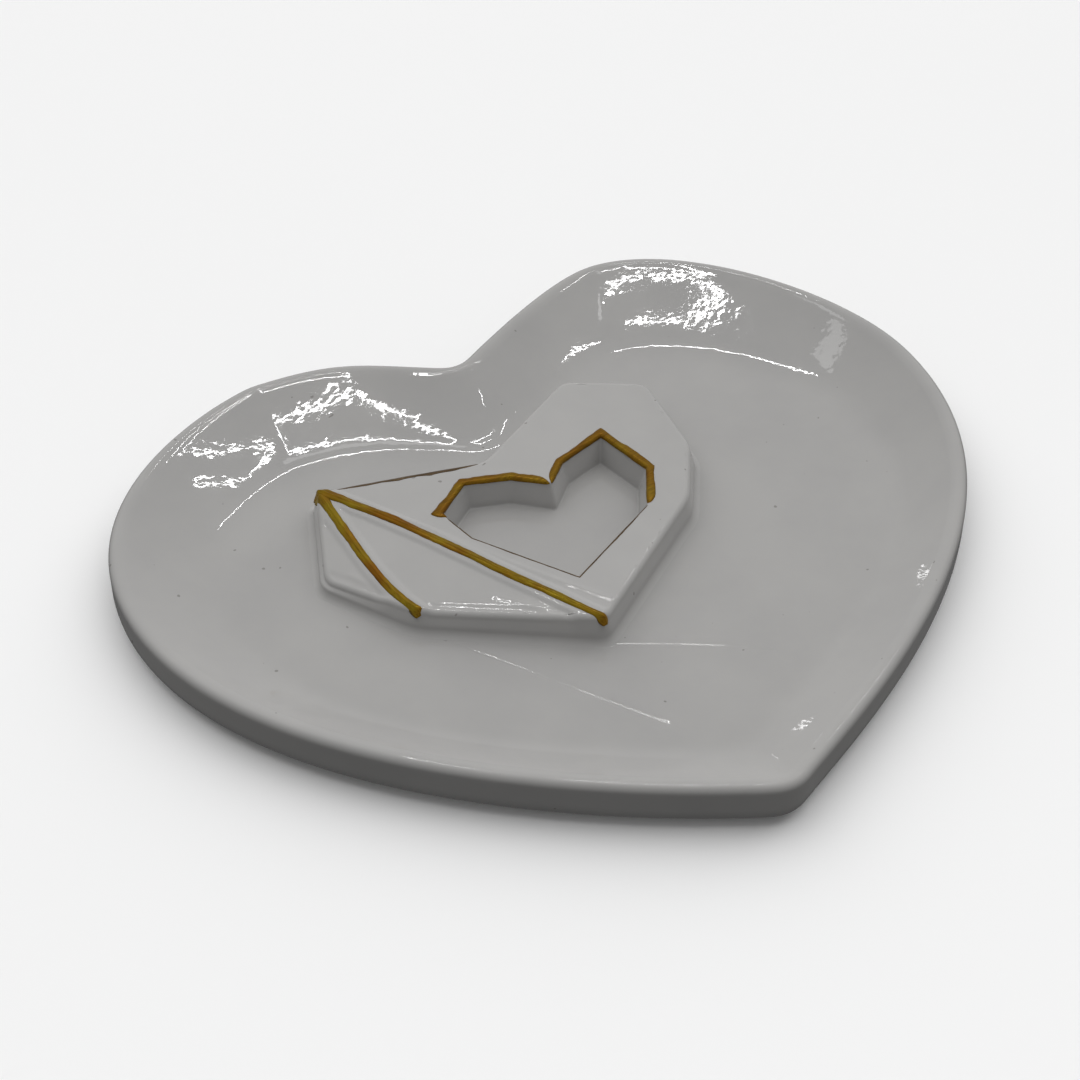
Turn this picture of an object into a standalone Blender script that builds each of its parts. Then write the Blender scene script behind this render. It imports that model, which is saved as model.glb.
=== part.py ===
"""Heart-shaped ceramic trinket dish with a faceted heart tablet and hand-brushed gold lines.

The dish is an open, shallow casting: a flat floor, a broad coved wall and a rounded rim.
A faceted slab stands on its floor and has a faceted heart window through it. Raised gold
lines follow the slab's ridges and the window's rim.

Metres, +Z up. The origin is the middle of the dish's box, on the surface it stands on.
+X points to the right lobe and +Y from the tip to the cleft.
"""
from collections import namedtuple
from math import cos, hypot, pi, radians, sin

import bmesh
import bpy

MM = 0.001

# Heights, in millimetres.
RIM_HEIGHT = 7.4
FLOOR_HEIGHT = 3.1
TABLET_RISE = 4.2
GAP = 0.3

# Dish section, in millimetres.
FOOT_EDGE_RADIUS = 3.2
RIM_EDGE_RADIUS = 1.0
LIP_WIDTH = 2.3
COVE_FOOT_SHARE = 0.18

# Tablet and window, in millimetres.
TABLET_DRAFT = 0.6
TABLET_EDGE_BEVEL = 0.5
WINDOW_DRAFT = 1.1
WINDOW_CHAMFER = 0.45

# Gold lines, in millimetres.
BRUSH_WIDTH = 1.4
BRUSH_HEIGHT = 0.45
BRUSH_END = 0.5
STRIP_THICKNESS = 0.3
STRIP_HEIGHT = 1.2
STRIP_PROUD = 0.1

# Points per stretch of the heart outlines.
SIDE_STEPS = 22
SHOULDER_STEPS = 14
INNER_STEPS = 14
CORNER_STEPS = 5
DENSE_STEPS = 80
ROUND_STEPS = 4
COVE_STEPS = 4

# Half of a heart outline, in millimetres, from the tip past the widest point and the top of
# the lobe to the cleft. A pull is the length of a Bezier handle at that place.
Half = namedtuple(
    "Half",
    "side widest lobe_top tip_angle tip_pull rise_pull crown_pull "
    "shoulder_pull inner_pull cleft_angle cleft_pull",
)
Heart = namedtuple("Heart", "tip cleft tip_round cleft_round right left")

RIM = Heart(
    tip=(0.0, -56.6),
    cleft=(0.0, 42.3),
    tip_round=3.2,
    cleft_round=2.8,
    right=Half(1, (64.6, 13.4), (31.1, 56.0), 35.5, 8.6, 44.5, 17.6, 16.4, 8.7, 27.8, 4.1),
    left=Half(-1, (65.4, 14.2), (29.7, 53.1), 20.0, 11.7, 39.1, 30.1, 3.7, 15.4, 29.8, 14.4),
)
FLOOR = Heart(
    tip=(0.0, -46.8),
    cleft=(-3.5, 25.0),
    tip_round=5.0,
    cleft_round=4.0,
    right=Half(1, (52.8, 6.0), (21.5, 37.2), 38.0, 8.0, 32.0, 15.0, 14.0, 6.0, 36.0, 6.0),
    left=Half(-1, (53.6, 9.0), (31.0, 34.2), 30.0, 8.0, 32.0, 14.0, 10.0, 12.0, 33.0, 7.0),
)

# Corners of the tablet's top, in millimetres, clockwise from the corner where the two
# strokes start. The last number is how far the corner lies below the flat top.
TABLET_CORNERS = {
    "left": (-31.6, 26.0, 0.0),
    "cleft": (-6.8, 20.5, 0.0),
    "lobe_back": (12.5, 31.8, 0.0),
    "lobe_top": (23.8, 25.4, 0.0),
    "lobe_side": (22.5, 9.4, 0.0),
    "lobe_low": (16.2, -0.8, 0.0),
    "point": (-7.2, -17.5, 0.0),
    "front": (-29.6, -3.0, 0.8),
    "low_left": (-37.6, 9.8, 1.9),
}

# Corners of the window's top edge, in millimetres, clockwise from its left end.
WINDOW_CORNERS = (
    (-17.4, 13.0),
    (-11.7, 17.3),
    (-4.9, 15.2),
    (-0.3, 11.3),
    (3.5, 15.0),
    (11.5, 17.5),
    (13.9, 7.8),
    (9.9, 0.7),
    (-6.2, -8.0),
    (-15.8, 6.2),
)

# Gold lines on the tablet's top, in millimetres, with the drop below the flat top.
LONG_STROKE = (
    (-31.2, 25.6, 0.0),
    (-26.3, 17.8, 0.0),
    (-21.2, 9.0, 0.0),
    (-15.6, -1.8, 0.0),
    (-10.8, -10.6, 0.0),
    (-7.7, -16.2, 0.0),
)
SHORT_STROKE = (
    (-31.8, 23.0, 0.0),
    (-31.6, 16.9, 0.1),
    (-31.6, 7.2, 0.4),
    (-30.9, -0.2, 0.7),
    (-30.2, -2.2, 0.8),
)
EDGE_STROKE = ((-27.4, 25.1), (-7.6, 20.7))
WINDOW_BRUSH_LEFT = (
    (-17.8, 11.8),
    (-18.1, 13.8),
    (-12.0, 18.3),
    (-8.6, 17.9),
    (-4.3, 15.8),
    (-1.1, 13.1),
)
WINDOW_BRUSH_RIGHT = (
    (-0.2, 12.4),
    (2.9, 15.8),
    (7.2, 17.3),
    (12.1, 18.5),
    (14.8, 8.0),
    (11.0, 1.2),
)

# Outlines of the gold lines' sections: across as a share of the width, up of the height.
BEAD_SECTION = ((-0.5, 0.0), (-0.42, 0.5), (-0.2, 0.9), (0.2, 0.9), (0.42, 0.5), (0.5, 0.0))
STRIP_SECTION = ((-0.5, 0.0), (-0.5, 1.0), (0.5, 1.0), (0.5, 0.0))

GLAZE_COLOUR = (0.40, 0.40, 0.39, 1.0)
TABLET_COLOUR = (0.43, 0.43, 0.42, 1.0)
GOLD_COLOUR = (0.30, 0.18, 0.02, 1.0)


def clear_scene():
    for item in list(bpy.data.objects):
        bpy.data.objects.remove(item, do_unlink=True)


def glossy(name, colour, roughness, metallic=0.0):
    material = bpy.data.materials.new(name)
    material.use_nodes = True
    shader = material.node_tree.nodes["Principled BSDF"]
    shader.inputs["Base Color"].default_value = colour
    shader.inputs["Roughness"].default_value = roughness
    shader.inputs["Metallic"].default_value = metallic
    return material


def add_object(name, shape, material):
    """Turn a bmesh in millimetres into a named object in metres, shifted to the origin."""
    bmesh.ops.recalc_face_normals(shape, faces=shape.faces)
    for vert in shape.verts:
        vert.co.x = (vert.co.x - CENTRE[0]) * MM
        vert.co.y = (vert.co.y - CENTRE[1]) * MM
        vert.co.z = vert.co.z * MM
    mesh = bpy.data.meshes.new(name)
    shape.to_mesh(mesh)
    shape.free()
    mesh.materials.append(material)
    mesh.shade_smooth()
    mesh.set_sharp_from_angle(angle=radians(35))
    item = bpy.data.objects.new(name, mesh)
    bpy.context.scene.collection.objects.link(item)
    return item


# Heart outlines


def bezier(start, pull_start, pull_end, end, steps=DENSE_STEPS):
    points = []
    for step in range(steps + 1):
        t = step / steps
        weights = ((1 - t) ** 3, 3 * (1 - t) ** 2 * t, 3 * (1 - t) * t * t, t ** 3)
        corners = (start, pull_start, pull_end, end)
        x = sum(w * p[0] for w, p in zip(weights, corners))
        y = sum(w * p[1] for w, p in zip(weights, corners))
        points.append((x, y))
    return points


def resample(points, count, skip_start=0.0, skip_end=0.0):
    """Return count + 1 points, evenly spaced along a line of points, between two skips."""
    reach = [0.0]
    for before, after in zip(points, points[1:]):
        reach.append(reach[-1] + hypot(after[0] - before[0], after[1] - before[1]))
    spread = reach[-1] - skip_start - skip_end
    result = []
    index = 0
    for step in range(count + 1):
        goal = skip_start + spread * step / count
        while index < len(points) - 2 and reach[index + 1] < goal:
            index += 1
        share = (goal - reach[index]) / (reach[index + 1] - reach[index])
        before, after = points[index], points[index + 1]
        x = before[0] + (after[0] - before[0]) * share
        y = before[1] + (after[1] - before[1]) * share
        result.append((x, y))
    return result


def half_outline(heart, half):
    """Points of one half, from just past the tip to just before the cleft."""
    side = half.side
    widest = (side * half.widest[0], half.widest[1])
    top = (side * half.lobe_top[0], half.lobe_top[1])
    tip_turn = radians(half.tip_angle)
    cleft_turn = radians(half.cleft_angle)
    tip_handle = (
        heart.tip[0] + side * half.tip_pull * cos(tip_turn),
        heart.tip[1] + half.tip_pull * sin(tip_turn),
    )
    cleft_handle = (
        heart.cleft[0] + side * half.cleft_pull * cos(cleft_turn),
        heart.cleft[1] + half.cleft_pull * sin(cleft_turn),
    )
    flank = bezier(heart.tip, tip_handle, (widest[0], widest[1] - half.rise_pull), widest)
    shoulder = bezier(
        widest,
        (widest[0], widest[1] + half.crown_pull),
        (top[0] + side * half.shoulder_pull, top[1]),
        top,
    )
    inner = bezier(top, (top[0] - side * half.inner_pull, top[1]), cleft_handle, heart.cleft)
    points = resample(flank, SIDE_STEPS, skip_start=heart.tip_round)
    points += resample(shoulder, SHOULDER_STEPS)[1:]
    points += resample(inner, INNER_STEPS, skip_end=heart.cleft_round)[1:]
    return points


def rounded_corner(start, corner, end):
    """Points strictly between start and end on a curve that rounds the corner."""
    points = []
    for step in range(1, CORNER_STEPS + 1):
        t = step / (CORNER_STEPS + 1)
        x = (1 - t) ** 2 * start[0] + 2 * t * (1 - t) * corner[0] + t * t * end[0]
        y = (1 - t) ** 2 * start[1] + 2 * t * (1 - t) * corner[1] + t * t * end[1]
        points.append((x, y))
    return points


def heart_outline(heart):
    """Closed counter-clockwise outline that starts on the right, just past the tip."""
    right = half_outline(heart, heart.right)
    left = half_outline(heart, heart.left)[::-1]
    outline = right + rounded_corner(right[-1], heart.cleft, left[0])
    return outline + left + rounded_corner(left[-1], heart.tip, right[0])


def inset(outline, distance):
    """Move each point of a counter-clockwise outline inwards, square to the outline."""
    result = []
    count = len(outline)
    for index, point in enumerate(outline):
        before = outline[index - 1]
        after = outline[(index + 1) % count]
        run = (after[0] - before[0], after[1] - before[1])
        length = hypot(*run)
        x = point[0] - distance * run[1] / length
        y = point[1] + distance * run[0] / length
        result.append((x, y))
    return result


def middle_of_box(outline):
    across = [point[0] for point in outline]
    along = [point[1] for point in outline]
    return (min(across) + max(across)) / 2, (min(along) + max(along)) / 2


RIM_OUTLINE = heart_outline(RIM)
FLOOR_OUTLINE = heart_outline(FLOOR)
CENTRE = middle_of_box(RIM_OUTLINE)


# Lofting


def add_ring(shape, outline, height):
    return [shape.verts.new((point[0], point[1], height)) for point in outline]


def bridge(shape, ring_a, ring_b, closed=True):
    count = len(ring_a)
    for index in range(count if closed else count - 1):
        follow = (index + 1) % count
        shape.faces.new((ring_a[index], ring_a[follow], ring_b[follow], ring_b[index]))


def loft(rings):
    """Closed solid through (outline, height) rings, with both ends capped."""
    shape = bmesh.new()
    loops = [add_ring(shape, outline, height) for outline, height in rings]
    for lower, upper in zip(loops, loops[1:]):
        bridge(shape, lower, upper)
    shape.faces.new(loops[0][::-1])
    shape.faces.new(loops[-1])
    return shape


# Dish


def foot_edge_rings():
    rings = []
    for step in range(ROUND_STEPS + 1):
        turn = pi / 2 * step / ROUND_STEPS
        distance = FOOT_EDGE_RADIUS * (1 - sin(turn))
        height = FOOT_EDGE_RADIUS * (1 - cos(turn))
        rings.append((inset(RIM_OUTLINE, distance), height))
    return rings


def rim_rings():
    rings = []
    for step in range(ROUND_STEPS):
        turn = pi / 2 * step / (ROUND_STEPS - 1)
        distance = RIM_EDGE_RADIUS * (1 - cos(turn))
        height = RIM_HEIGHT - RIM_EDGE_RADIUS * (1 - sin(turn))
        rings.append((inset(RIM_OUTLINE, distance), height))
    return rings


def cove_fall(share):
    """Height left above the floor, as a share of the depth, at a share of the wall's run.

    The wall is a straight slope that rounds out to the floor over its last stretch.
    """
    steepness = 1 / (1 - COVE_FOOT_SHARE / 2)
    if share < 1 - COVE_FOOT_SHARE:
        return 1 - steepness * share
    return steepness / (2 * COVE_FOOT_SHARE) * (1 - share) ** 2


def cove_shares():
    slope_end = 1 - COVE_FOOT_SHARE
    slope = [slope_end * step / COVE_STEPS for step in range(COVE_STEPS)]
    foot = [slope_end + COVE_FOOT_SHARE * step / COVE_STEPS for step in range(COVE_STEPS + 1)]
    return slope + foot


def cove_rings():
    lip = inset(RIM_OUTLINE, LIP_WIDTH)
    rings = []
    for share in cove_shares():
        outline = []
        for edge, foot in zip(lip, FLOOR_OUTLINE):
            x = edge[0] + (foot[0] - edge[0]) * share
            y = edge[1] + (foot[1] - edge[1]) * share
            outline.append((x, y))
        height = FLOOR_HEIGHT + (RIM_HEIGHT - FLOOR_HEIGHT) * cove_fall(share)
        rings.append((outline, height))
    return rings


def make_dish():
    shape = loft(foot_edge_rings() + rim_rings() + cove_rings())
    add_object("dish_body", shape, glossy("dish_glaze", GLAZE_COLOUR, 0.12))


# Tablet


def grow_polygon(corners, distance):
    """Move the sides of a clockwise polygon outwards by a distance, with mitred corners."""
    result = []
    count = len(corners)
    for index in range(count):
        before, point, after = corners[index - 1], corners[index], corners[(index + 1) % count]
        normals = []
        for start, end in ((before, point), (point, after)):
            run = (end[0] - start[0], end[1] - start[1])
            length = hypot(*run)
            normals.append((-run[1] / length, run[0] / length))
        mix = (normals[0][0] + normals[1][0], normals[0][1] + normals[1][1])
        reach = distance / (1 + normals[0][0] * normals[1][0] + normals[0][1] * normals[1][1])
        result.append((point[0] + mix[0] * reach, point[1] + mix[1] * reach))
    return result


def tablet_blank():
    """The faceted slab before its window is cut."""
    top_height = FLOOR_HEIGHT + TABLET_RISE
    shape = bmesh.new()
    top = {}
    for name, (x, y, drop) in TABLET_CORNERS.items():
        top[name] = shape.verts.new((x, y, top_height - drop))
    plan = [corner[:2] for corner in TABLET_CORNERS.values()]
    base = add_ring(shape, grow_polygon(plan, TABLET_DRAFT), FLOOR_HEIGHT + GAP)
    bridge(shape, base, list(top.values()))
    shape.faces.new(base)
    flat = [vert for name, vert in top.items() if name not in ("front", "low_left")]
    shape.faces.new(flat)
    shape.faces.new((top["left"], top["point"], top["front"]))
    shape.faces.new((top["left"], top["front"], top["low_left"]))
    bmesh.ops.triangulate(shape, faces=[face for face in shape.faces if len(face.verts) == 4])
    return shape


def window_cutter():
    top_height = FLOOR_HEIGHT + TABLET_RISE
    above = 1.0
    slope = WINDOW_DRAFT / TABLET_RISE
    rings = (
        (-WINDOW_DRAFT - slope * above, FLOOR_HEIGHT - above),
        (-slope * WINDOW_CHAMFER, top_height - WINDOW_CHAMFER),
        (WINDOW_CHAMFER, top_height),
        (WINDOW_CHAMFER + above, top_height + above),
    )
    shape = loft([(grow_polygon(WINDOW_CORNERS, grow), height) for grow, height in rings])
    return add_object("window_cutter", shape, glossy("cutter", GLAZE_COLOUR, 0.5))


def make_tablet():
    tablet = add_object(
        "faceted_heart_tablet", tablet_blank(), glossy("tablet_glaze", TABLET_COLOUR, 0.12)
    )
    bevel = tablet.modifiers.new("soft_edges", "BEVEL")
    bevel.width = TABLET_EDGE_BEVEL * MM
    bevel.segments = 2
    bevel.limit_method = "ANGLE"
    bevel.angle_limit = radians(40)
    cutter = window_cutter()
    cutter.hide_render = True
    cutter.display_type = "WIRE"
    window = tablet.modifiers.new("window", "BOOLEAN")
    window.operation = "DIFFERENCE"
    window.solver = "EXACT"
    window.object = cutter


# Gold lines


def line_frames(path):
    """For each point of a plan path, the sideways direction, longer where it mitres a bend."""
    frames = []
    for index in range(len(path)):
        normals = []
        for start, end in zip(path[max(index - 1, 0):index + 2], path[max(index, 1):index + 2]):
            run = (end[0] - start[0], end[1] - start[1])
            length = hypot(*run)
            normals.append((-run[1] / length, run[0] / length))
        first, last = normals[0], normals[-1]
        scale = 1 / (1 + first[0] * last[0] + first[1] * last[1])
        frames.append(((first[0] + last[0]) * scale, (first[1] + last[1]) * scale))
    return frames


def sweep(path, section, width, height, end_share):
    """Closed line of gold: the section carried along a path of (x, y, z) points."""
    shape = bmesh.new()
    loops = []
    last = len(path) - 1
    for index, (point, across) in enumerate(zip(path, line_frames(path))):
        share = end_share if index in (0, last) else 1.0
        loop = []
        for side, up in section:
            x = point[0] + across[0] * side * width * share
            y = point[1] + across[1] * side * width * share
            loop.append(shape.verts.new((x, y, point[2] + up * height * share)))
        loops.append(loop)
    for ring_a, ring_b in zip(loops, loops[1:]):
        bridge(shape, ring_a, ring_b)
    shape.faces.new(loops[0])
    shape.faces.new(loops[-1][::-1])
    bmesh.ops.triangulate(shape, faces=shape.faces)
    return shape


def with_ends(path):
    """Add a full-width point just inside each end, so that the ends taper."""
    result = list(path)
    for place, (end, inner) in ((1, (path[0], path[1])), (-1, (path[-1], path[-2]))):
        share = BRUSH_END / hypot(inner[0] - end[0], inner[1] - end[1])
        result.insert(place, tuple(a + (b - a) * share for a, b in zip(end, inner)))
    return result


def brush_line(name, path, material):
    """A rounded bead of gold that lies just above the tablet's top."""
    seat = FLOOR_HEIGHT + TABLET_RISE + GAP
    points = [(point[0], point[1], seat - sum(point[2:])) for point in path]
    shape = sweep(with_ends(points), BEAD_SECTION, BRUSH_WIDTH, BRUSH_HEIGHT, 0.45)
    add_object(name, shape, material)


def side_strip(name, plan, drop, material):
    """A thin band of gold that stands beside an upright face."""
    seat = FLOOR_HEIGHT + TABLET_RISE + STRIP_PROUD - STRIP_HEIGHT - drop
    points = [(x, y, seat) for x, y in plan]
    add_object(name, sweep(points, STRIP_SECTION, STRIP_THICKNESS, STRIP_HEIGHT, 1.0), material)


def make_gold_lines():
    gold = glossy("gold_lustre", GOLD_COLOUR, 0.35, metallic=0.6)
    brush_line("long_gold_stroke", LONG_STROKE, gold)
    brush_line("short_gold_stroke", SHORT_STROKE, gold)
    brush_line("window_gold_left", WINDOW_BRUSH_LEFT, gold)
    brush_line("window_gold_right", WINDOW_BRUSH_RIGHT, gold)
    beside = GAP + STRIP_THICKNESS / 2
    start, end = EDGE_STROKE
    run = hypot(end[0] - start[0], end[1] - start[1])
    out = ((start[1] - end[1]) / run, (end[0] - start[0]) / run)
    reach = beside + TABLET_DRAFT * STRIP_HEIGHT / TABLET_RISE
    edge = [(x + out[0] * reach, y + out[1] * reach) for x, y in EDGE_STROKE]
    side_strip("edge_gold_stroke", edge, 0.0, gold)
    reach = beside + WINDOW_DRAFT * STRIP_HEIGHT / TABLET_RISE
    inner = grow_polygon(WINDOW_CORNERS, -reach)
    side_strip("window_gold_point", inner[7:10], STRIP_PROUD, gold)


clear_scene()
make_dish()
make_tablet()
make_gold_lines()
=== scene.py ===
"""Looks for the heart-shaped trinket dish: glazed ceramic with brushed gold lines.

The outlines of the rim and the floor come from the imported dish. Shapes are worked out in
millimetres in the frame's own axes, and turned into metres when a piece is made.
"""
from math import cos, pi, radians, sin

import bpy
import numpy as np
from mathutils import Matrix, Vector
from mathutils.geometry import delaunay_2d_cdt


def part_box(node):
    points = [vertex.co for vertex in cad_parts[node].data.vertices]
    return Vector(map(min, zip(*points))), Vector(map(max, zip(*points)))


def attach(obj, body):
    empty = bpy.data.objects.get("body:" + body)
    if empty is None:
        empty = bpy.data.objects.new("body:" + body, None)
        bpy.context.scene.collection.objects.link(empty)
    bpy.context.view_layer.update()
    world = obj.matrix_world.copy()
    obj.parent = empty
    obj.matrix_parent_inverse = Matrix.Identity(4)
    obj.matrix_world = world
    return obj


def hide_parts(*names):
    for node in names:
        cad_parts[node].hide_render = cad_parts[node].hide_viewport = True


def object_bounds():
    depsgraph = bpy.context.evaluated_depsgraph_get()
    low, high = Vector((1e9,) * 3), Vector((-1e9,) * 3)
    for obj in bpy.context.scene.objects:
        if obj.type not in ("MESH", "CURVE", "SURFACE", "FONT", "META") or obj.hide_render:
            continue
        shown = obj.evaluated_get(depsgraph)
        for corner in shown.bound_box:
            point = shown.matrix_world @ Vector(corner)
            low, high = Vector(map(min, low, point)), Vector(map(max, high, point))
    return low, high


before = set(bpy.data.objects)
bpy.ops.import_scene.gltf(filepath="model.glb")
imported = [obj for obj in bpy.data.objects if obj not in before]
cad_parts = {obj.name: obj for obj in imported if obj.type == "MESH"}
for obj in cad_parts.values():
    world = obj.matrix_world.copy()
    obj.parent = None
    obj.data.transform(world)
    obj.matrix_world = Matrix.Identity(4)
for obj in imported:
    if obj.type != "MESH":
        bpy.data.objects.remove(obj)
CAD_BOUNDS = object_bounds()

MM = 0.001

# Heights that the CAD gives, in millimetres.
DISH_LOW, DISH_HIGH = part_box("dish_body")
TABLET_LOW, TABLET_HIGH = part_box("faceted_heart_tablet")
RIM_HEIGHT = DISH_HIGH.z / MM
TABLET_TOP = TABLET_HIGH.z / MM
FLOOR_HEIGHT = 3.1
OUTLINE_HEIGHT = 6.4

# Dish section, in millimetres. Shares are of the wall's run, slopes are relative.
FOOT_EDGE_RADIUS = 3.2
RIM_EDGE_RADIUS = 1.0
LIP_WIDTH = 2.3
LIP_FALL = 0.12
LIP_EDGE_RADIUS = 0.45
COVE_FOOT_SHARE = 0.42
COVE_FOOT_REACH = 3.5
COVE_TOP_SLOPE = 1.45
COVE_LOW_SLOPE = 0.75
COVE_RINGS = 44
COVE_FIRST_SHARE = 0.012
FLOOR_SPACING = 0.9
UNDERSIDE_SPACING = 3.0
BARE_BELOW = 0.4

# Points round the outline, from the tip to the right side, right lobe, cleft, left lobe, left
# side and back to the tip.
STRETCH_POINTS = (130, 76, 60, 60, 76, 130)

# Unevenness of the dish's glaze: height and wavelength, in millimetres, then its seed.
DISH_WAVES = ((0.012, 22, 3), (0.0015, 5, 4))

# Tablet, in millimetres. Corners are the CAD's, clockwise: x, y and the drop below the top.
TABLET_DRAFT = 0.6
WINDOW_DRAFT = 1.1
WINDOW_RADIUS = 0.35
EDGE_RADIUS = 0.8
WALL_HEIGHT = 4.2
TABLET_FOOT_FILLET = 1.3
WINDOW_FOOT_FILLET = 0.4
TABLET_CORNER_ROUNDING = 1.7
WINDOW_CORNER_ROUNDING = 0.5
WALL_SPACING = 0.7
TOP_SPACING = 0.28
BASE_SPACING = 4.0
SUNK = 0.04
RIB_HEIGHT = 0.28
RIB_HALF = 1.75
BORDER_DEPTH = 0.10
BORDER_INNER = 1.2
BORDER_OUTER = 2.2
TOP_CLEARANCE = 0.05
TABLET_WAVES = ((0.02, 9, 11), (0.008, 4, 12))
TABLET_CORNERS = {
    "left": (-31.6, 26.0, 0.0),
    "cleft": (-6.8, 20.5, 0.0),
    "lobe_back": (12.5, 31.8, 0.0),
    "lobe_top": (23.8, 25.4, 0.0),
    "lobe_side": (22.5, 9.4, 0.0),
    "lobe_low": (16.2, -0.8, 0.0),
    "point": (-7.2, -17.5, 0.0),
    "front": (-29.6, -3.0, 0.8),
    "low_left": (-37.6, 9.8, 1.9),
}
WINDOW_CORNERS = (
    (-17.4, 13.0),
    (-11.7, 17.3),
    (-4.9, 15.2),
    (-0.3, 11.3),
    (3.5, 15.0),
    (11.5, 17.5),
    (13.9, 7.8),
    (9.9, 0.7),
    (-6.2, -8.0),
    (-15.8, 6.2),
)

# Fine scratches in the dish floor: points, then depth, in millimetres.
SCRATCHES = (
    (((-27.3, -6.3), (-21.6, -14.4), (-16.6, -21.9), (-7.8, -34.7)), 0.045),
    (((-6.6, -18.6), (4.1, -24.5), (12.4, -30.1)), 0.03),
    (((-38.7, -18.5), (-35.2, -21.8), (-31.5, -24.4)), 0.02),
)
SCRATCH_HALF = 0.11
BURR_OFFSET = 0.26
BURR_HALF = 0.12
BURR_SHARE = 0.25
SCRATCH_MESH_OFFSETS = (-0.32, -0.14, 0.0, 0.14, 0.32)

# Soft welts in the tablet's glaze: points, height and spread, in millimetres.
WELTS = (
    (((-25.6, 17.2), (-23.1, 14.4), (-14.5, 0.8), (-4.6, -14.0)), 0.085, 0.42),
    (((-18.6, -5.6), (-15.0, -10.0), (-12.0, -13.8)), 0.07, 0.55),
    (((-34.1, 8.4), (-31.5, 1.2)), 0.06, 0.5),
)

# Middles of the two thick gold lines, in millimetres.
LONG_STROKE = (
    (-31.6, 26.0),
    (-26.3, 17.8),
    (-21.2, 9.0),
    (-15.6, -1.8),
    (-10.8, -10.6),
    (-7.0, -17.7),
)
SHORT_STROKE = ((-31.6, 25.0), (-31.4, 16.9), (-31.1, 7.2), (-30.0, -0.2), (-28.9, -3.5))
STROKE_STEP = 0.22
BAND_STEP = 0.25


def tablet_shift():
    """How far the plan's origin lies from the frame's, in millimetres."""
    grown = offset_polygon([c[:2] for c in TABLET_CORNERS.values()], TABLET_DRAFT)
    low_x = min(point[0] for point in grown)
    high_y = max(point[1] for point in grown)
    return np.array([TABLET_LOW.x / MM - low_x, TABLET_HIGH.y / MM - high_y])


# Plan geometry


def offset_polygon(corners, distance):
    """Move the sides of a clockwise polygon outwards by a distance, with mitred corners."""
    points = np.array(corners, float)
    before = points - np.roll(points, 1, axis=0)
    after = np.roll(points, -1, axis=0) - points
    normals = []
    for run in (before, after):
        length = np.linalg.norm(run, axis=1, keepdims=True)
        normals.append(np.stack([-run[:, 1], run[:, 0]], axis=1) / length)
    share = 1 + np.sum(normals[0] * normals[1], axis=1, keepdims=True)
    return points + (normals[0] + normals[1]) * distance / share


def spline(points, steps, closed):
    """Smooth curve through plan points: a cubic spline over the distance along them."""
    points = np.array(points, float)
    if closed:
        points = np.vstack([points, points[:1]])
    span = np.linalg.norm(np.diff(points, axis=0), axis=1)
    count = len(points)
    matrix = np.zeros((count, count))
    right = np.zeros_like(points)
    for i in range(1, count - 1):
        matrix[i, i - 1:i + 2] = span[i], 2 * (span[i - 1] + span[i]), span[i - 1]
        right[i] = 3 * (
            (points[i] - points[i - 1]) * span[i] / span[i - 1]
            + (points[i + 1] - points[i]) * span[i - 1] / span[i]
        )
    if closed:
        matrix[0, [0, 1, -2]] = 2 * (span[0] + span[-1]), span[-1], span[0]
        right[0] = 3 * (
            (points[0] - points[-2]) * span[0] / span[-1]
            + (points[1] - points[0]) * span[-1] / span[0]
        )
        matrix[-1, [0, -1]] = 1, -1
    else:
        matrix[0, :2] = 2, 1
        right[0] = 3 * (points[1] - points[0]) / span[0]
        matrix[-1, -2:] = 1, 2
        right[-1] = 3 * (points[-1] - points[-2]) / span[-1]
    slope = np.linalg.solve(matrix, right)
    result = []
    for i in range(count - 1):
        for step in range(steps):
            t = step / steps
            stretch = span[i]
            result.append(
                (2 * t ** 3 - 3 * t * t + 1) * points[i]
                + (t ** 3 - 2 * t * t + t) * stretch * slope[i]
                + (3 * t * t - 2 * t ** 3) * points[i + 1]
                + (t ** 3 - t * t) * stretch * slope[i + 1]
            )
    if not closed:
        result.append(points[-1])
    return np.array(result)


def run_lengths(line):
    """Distance along a line of points to each of them."""
    return np.concatenate([[0], np.cumsum(np.linalg.norm(np.diff(line, axis=0), axis=1))])


def sideways(line):
    """Unit vectors to the left of a line of points, one at each."""
    run = np.gradient(line, axis=0)
    run /= np.linalg.norm(run, axis=1, keepdims=True)
    return np.column_stack([-run[:, 1], run[:, 0]])


def inset(outline, distance):
    """Move a counter-clockwise outline's points inwards, square to it."""
    run = np.roll(outline, -1, axis=0) - np.roll(outline, 1, axis=0)
    run /= np.linalg.norm(run, axis=1, keepdims=True)
    return outline + distance * np.stack([-run[:, 1], run[:, 0]], axis=1)


def round_polygon(corners, radius, spacing):
    """Clockwise polygon with rounded corners and evenly divided sides.

    Returns points as (side, share along it) mixes of the corners, so that offsets of the
    same polygon get matching points.
    """
    corners = np.array(corners, float)
    count = len(corners)
    sides = np.roll(corners, -1, axis=0) - corners
    lengths = np.linalg.norm(sides, axis=1)
    recipe = []
    for i in range(count):
        trim = radius / lengths[i]
        pieces = max(2, int(lengths[i] / spacing))
        for step in range(pieces + 1):
            share = trim + (1 - 2 * trim) * step / pieces
            recipe.append(((i, 1 - share), ((i + 1) % count, share)))
        follow = (i + 1) % count
        turn = radius / lengths[follow]
        for step in range(1, 6):
            t = step / 6
            weights = {}
            for index, share in (
                (i, (1 - t) ** 2 * trim),
                (follow, (1 - t) ** 2 * (1 - trim) + 2 * t * (1 - t) + t * t * (1 - turn)),
                ((follow + 1) % count, t * t * turn),
            ):
                weights[index] = weights.get(index, 0) + share
            recipe.append(tuple(weights.items()))
    return recipe


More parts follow.
